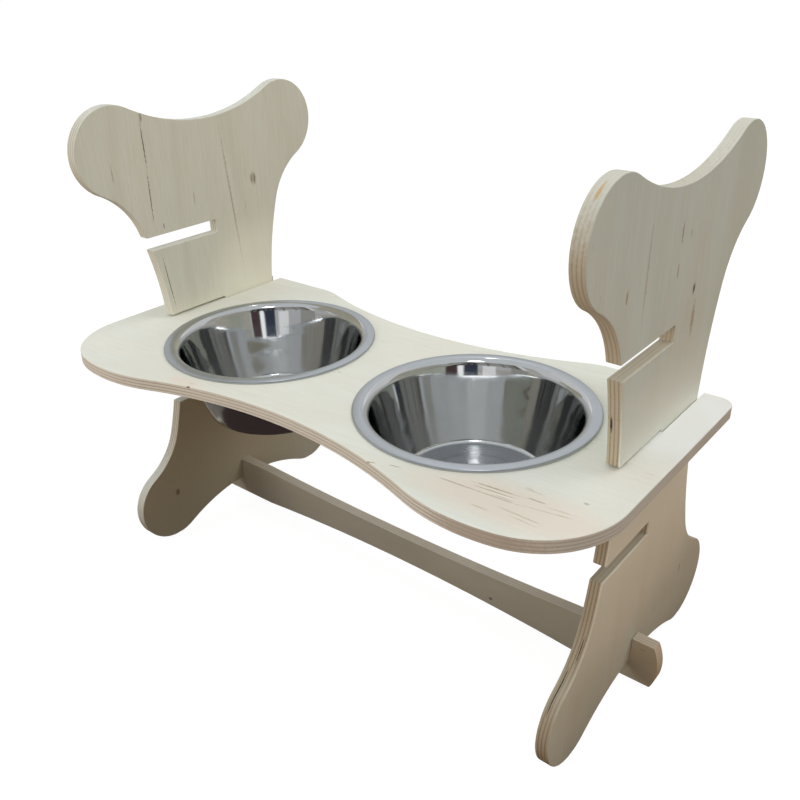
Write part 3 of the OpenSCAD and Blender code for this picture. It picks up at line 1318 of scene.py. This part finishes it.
@dataclass(frozen=True)
class Lamp:
    """A soft square lamp of the studio, which the steel doesn't reflect."""

    name: str
    place: tuple[float, float, float]
    power: float
    size: float
    aim: tuple[float, float, float] = (0.0, 0.0, 0.27)

    def build(self) -> Piece:
        """Hangs the lamp.

        Returns:
            The lamp's object.
        """
        data = bpy.data.lights.new(self.name, "AREA")
        data.size = self.size
        data.energy = self.power
        lamp = bpy.data.objects.new(self.name, data)
        bpy.context.scene.collection.objects.link(lamp)
        lamp.location = self.place
        lamp.rotation_mode = "QUATERNION"
        lamp.rotation_quaternion = (Vector(self.aim) - Vector(self.place)).to_track_quat("-Z", "Y")
        lamp.visible_glossy = False
        return lamp


@dataclass
class Studio:
    """A pale floor, mats and cards, soft light from above and behind, and the camera."""

    floor_radius: float = 25.0
    wall_height: float = 25.0
    mat_radius: float = 0.75
    mat_rim: float = 0.26
    mat_rise: float = 0.2
    dark_mat_radius: float = 0.47
    dark_mat_shift: float = 0.12
    ceiling_middle: tuple[float, float, float] = (0.62, -0.72, 2.05)
    ceiling_half: float = 0.16
    ceiling_glow: float = 14.0
    azimuth: float = 39.5908
    elevation: float = 27.1680
    roll: float = -1.4854
    position: tuple[float, float, float] = (0.49817, -0.58179, 0.61699)
    lens: float = 38.504
    sensor: float = 36.0
    clip: tuple[float, float] = (0.01, 200.0)

    def ring(self, radius: float, height: float, count: int = 96) -> list[Vector]:
        """Gives points round the stand.

        Args:
            radius: Their distance from its middle.
            height: Their height.
            count: How many there are.

        Returns:
            The points.
        """
        turns = [2 * math.pi * index / count for index in range(count)]
        return [Vector((radius * math.cos(turn), radius * math.sin(turn), height)) for turn in turns]

    def tray(self, count: int) -> list[tuple[int, ...]]:
        """Gives the faces of a round tray from the points of its base and of its rim.

        Args:
            count: How many points each of the two rings has.

        Returns:
            The faces.
        """
        sides = [(i, (i + 1) % count, count + (i + 1) % count, count + i) for i in range(count)]
        return [tuple(range(count))] + sides

    def floor(self) -> Piece:
        """Lays the pale floor with its far wall, which only the camera sees.

        Returns:
            The floor's object.
        """
        made, graph = bare_material("pale_floor")
        inputs = {
            "Base Color": (0.12, 0.12, 0.12, 1.0),
            "Roughness": 0.9,
            "Specular IOR Level": 0.0,
            "Emission Color": (1.0, 1.0, 1.0, 1.0),
            "Emission Strength": 0.96,
        }
        shader = graph.add("ShaderNodeBsdfPrincipled", None, inputs)
        graph.show(shader)
        low, high = self.ring(self.floor_radius, 0.0), self.ring(self.floor_radius, self.wall_height)
        return Sight(camera=True).stand("floor", low + high, self.tray(len(low)), made)

    def mat(self) -> Piece:
        """Lays the unseen brown mat that sends warm light up at the feet; its rim rises to the back.

        Returns:
            The mat's object.
        """
        made, graph = bare_material("brown_mat")
        spot = graph.add("ShaderNodeTexCoord").outputs["Object"]
        out = graph.add("ShaderNodeVectorMath", {"operation": "LENGTH"}, {0: spot}).outputs["Value"]
        aside = graph.split(spot)[0]
        shade, brown, tan = (0.04, 0.024, 0.013, 1.0), (0.42, 0.235, 0.10, 1.0), (0.54, 0.34, 0.19, 1.0)
        colour = graph.mix(graph.span(out, 0.22, 0.50), shade, brown)
        colour = graph.mix(graph.span(aside, 0.27, 0.38), colour, tan)
        shader = graph.add("ShaderNodeBsdfDiffuse", None, {"Color": colour})
        graph.show(shader)
        low = self.ring(self.mat_radius, -1.0 * MM)
        to_back = [max(0.0, 0.6 * p.x + 0.8 * p.y) / self.mat_radius for p in low]
        high = [Vector((p.x, p.y, self.mat_rim + self.mat_rise * share)) for p, share in zip(low, to_back)]
        return Sight(diffuse=True, shadow=True).stand("mat", low + high, self.tray(len(low)), made)

    def dark_mat(self) -> Piece:
        """Lays the dark mat that only the steel's underside reflects.

        Returns:
            The mat's object.
        """
        shift = Vector((self.dark_mat_shift, 0.0, 0.0))
        points = [point + shift for point in self.ring(self.dark_mat_radius, -0.5 * MM)]
        finish = glowing("dark_mat", (0.050, 0.034, 0.032, 1.0), 1.0)
        return Sight(glossy=True).stand("dark_mat", points, [tuple(range(len(points)))], finish)

    def world(self) -> None:
        """Sets the even light: bright from above and dimmer from below."""
        world = bpy.data.worlds.new("room")
        bpy.context.scene.world = world
        world.use_nodes = True
        graph = Graph(world.node_tree)
        way = graph.add("ShaderNodeTexCoord").outputs["Generated"]
        height = graph.split(way)[2]
        deep, low = (0.18, 0.16, 0.14, 1.0), (0.26, 0.24, 0.22, 1.0)
        level, high, top = (0.46, 0.40, 0.33, 1.0), (0.55, 0.55, 0.55, 1.0), (0.72, 0.75, 0.77, 1.0)
        below = graph.mix(graph.span(height, -0.9, -0.02), deep, low)
        above = graph.mix(graph.span(height, 0.12, 0.55), high, top)
        colour = graph.mix(graph.span(height, -0.03, 0.03), below, level)
        colour = graph.mix(graph.span(height, 0.03, 0.13), colour, above)
        light = graph.add("ShaderNodeBackground", None, {"Color": colour, "Strength": 1.0})
        graph.add("ShaderNodeOutputWorld", None, {"Surface": light.outputs[0]})

    def ceiling_card(self) -> Piece:
        """Hangs the bright card overhead that the bowls' bases and rims catch.

        Returns:
            The card's object.
        """
        middle, half = Vector(self.ceiling_middle), self.ceiling_half
        signs = ((-1, -1), (1, -1), (1, 1), (-1, 1))
        corners = [middle + Vector((x * half, y * half, 0.0)) for x, y in signs]
        finish = glowing("ceiling_card", paint(255, 255, 255), self.ceiling_glow)
        return Sight(glossy=True).stand("ceiling_card", corners, [(0, 1, 2, 3)], finish)

    def cards(self) -> list[Piece]:
        """Stands up the cards that the steel reflects.

        Returns:
            The cards' objects.
        """
        white, tan, grey = paint(248, 248, 248), paint(184, 179, 167), paint(163, 162, 157)
        dim, dark, black = paint(142, 139, 132), paint(108, 107, 106), paint(48, 47, 48)
        near, middle, back = CardRow(0.1, 0.75, 1.6), CardRow(0.9, 2.9, 2.2), CardRow(1.1, 3.6, 2.2)
        strip, bar = CardRow(0.9, 2.7, 2.1), CardRow(0.7, 2.7, 2.1)
        cards = [
            Card("low_grey_card", near, -10.0, 20.0, grey),
            Card("low_white_card", replace(near, high=0.62), 24.0, 14.0, white),
            Card("low_dark_card", near, 43.0, 14.0, paint(58, 64, 80)),
            Card("low_strip_card", near, 54.0, 5.0, white, 1.4),
            Card("low_brown_card", near, 63.5, 12.0, paint(82, 64, 64)),
            Card("low_tan_card", near, 98.0, 52.0, tan),
            Card("pale_card", middle, -31.0, 18.0, paint(192, 191, 184)),
            Card("dim_card", middle, -7.0, 14.0, dim),
            Card("grey_card", middle, 17.5, 35.0, grey),
            Card("dark_card", middle, 53.5, 37.0, dark),
            Card("tan_card", middle, 107.0, 70.0, tan),
            Card("back_card_a", back, 165.0, 44.0, white, 0.85),
            Card("back_card_b", back, 210.0, 46.0, white),
            Card("back_card_c", back, 256.0, 46.0, white, 0.85),
            Card("back_card_d", back, 300.0, 42.0, white, 0.8),
            Card("high_strip_card", CardRow(3.8, 6.5, 2.2), 220.0, 5.0, white, 10.0),
            Card("strip_card_a", strip, -17.0, 2.5, white),
            Card("strip_card_b", strip, 110.0, 1.2, white, 0.8),
            Card("strip_card_c", strip, 121.0, 1.2, white, 0.8),
        ]
        turns = (-9.0, 7.0, 24.0, 39.0, 45.0, 52.0, 60.0, 68.0)
        widths = (2.0, 2.0, 2.5, 2.5, 3.0, 2.0, 3.5, 2.0)
        for letter, turn, width in zip("abcdefgh", turns, widths):
            cards.append(Card("black_card_" + letter, bar, turn, width, dark if letter in "bc" else black))
        return [card.build() for card in cards] + [self.ceiling_card()]

    def camera(self) -> Piece:
        """Sets up the camera.

        Returns:
            The camera's object.
        """
        data = bpy.data.cameras.new("camera")
        data.lens = self.lens
        data.sensor_width = self.sensor
        data.clip_start, data.clip_end = self.clip
        camera = bpy.data.objects.new("camera", data)
        bpy.context.scene.collection.objects.link(camera)
        turn, tilt, roll = (math.radians(a) for a in (self.azimuth, self.elevation, self.roll))
        back = Vector((math.sin(turn) * math.cos(tilt), -math.cos(turn) * math.cos(tilt), math.sin(tilt)))
        level = Vector((math.cos(turn), math.sin(turn), 0.0))
        upward = back.cross(level)
        right = math.cos(roll) * level + math.sin(roll) * upward
        top = math.cos(roll) * upward - math.sin(roll) * level
        facing = Matrix((right, top, back)).transposed().to_4x4()
        camera.matrix_world = Matrix.Translation(self.position) @ facing
        bpy.context.scene.camera = camera
        return camera

    def build(self) -> list[Piece]:
        """Sets up the whole studio.

        Returns:
            Its objects.
        """
        bpy.context.scene.view_settings.view_transform = "Standard"
        self.world()
        lamps = (
            Lamp("key_lamp", (0.70, 1.00, 2.45), power=8.0, size=1.0),
            Lamp("side_lamp", (1.35, 0.95, 1.80), power=5.2, size=0.8),
            Lamp("fill_lamp", (-1.30, -2.00, 0.75), power=21.0, size=1.2),
        )
        stage = [self.floor(), self.mat(), self.dark_mat(), self.camera()]
        return stage + [lamp.build() for lamp in lamps] + self.cards()


def main() -> None:
    """Builds the stand's sub-assemblies in order and reports each piece."""
    logging.basicConfig(level=logging.INFO, format="%(message)s")
    steel = steel_finishes()
    pieces = SidePanels().build() + Stretcher().build() + Shelf().build()
    pieces += Bowl(Body.LEFT_BOWL, turned=0.3).build(steel)
    pieces += Bowl(Body.RIGHT_BOWL, turned=1.9).build(steel)
    for piece in pieces:
        LOG.info("piece %s", piece.name)
    for part in Studio().build():
        LOG.info("studio %s", part.name)


if __name__ == "__main__":
    main()
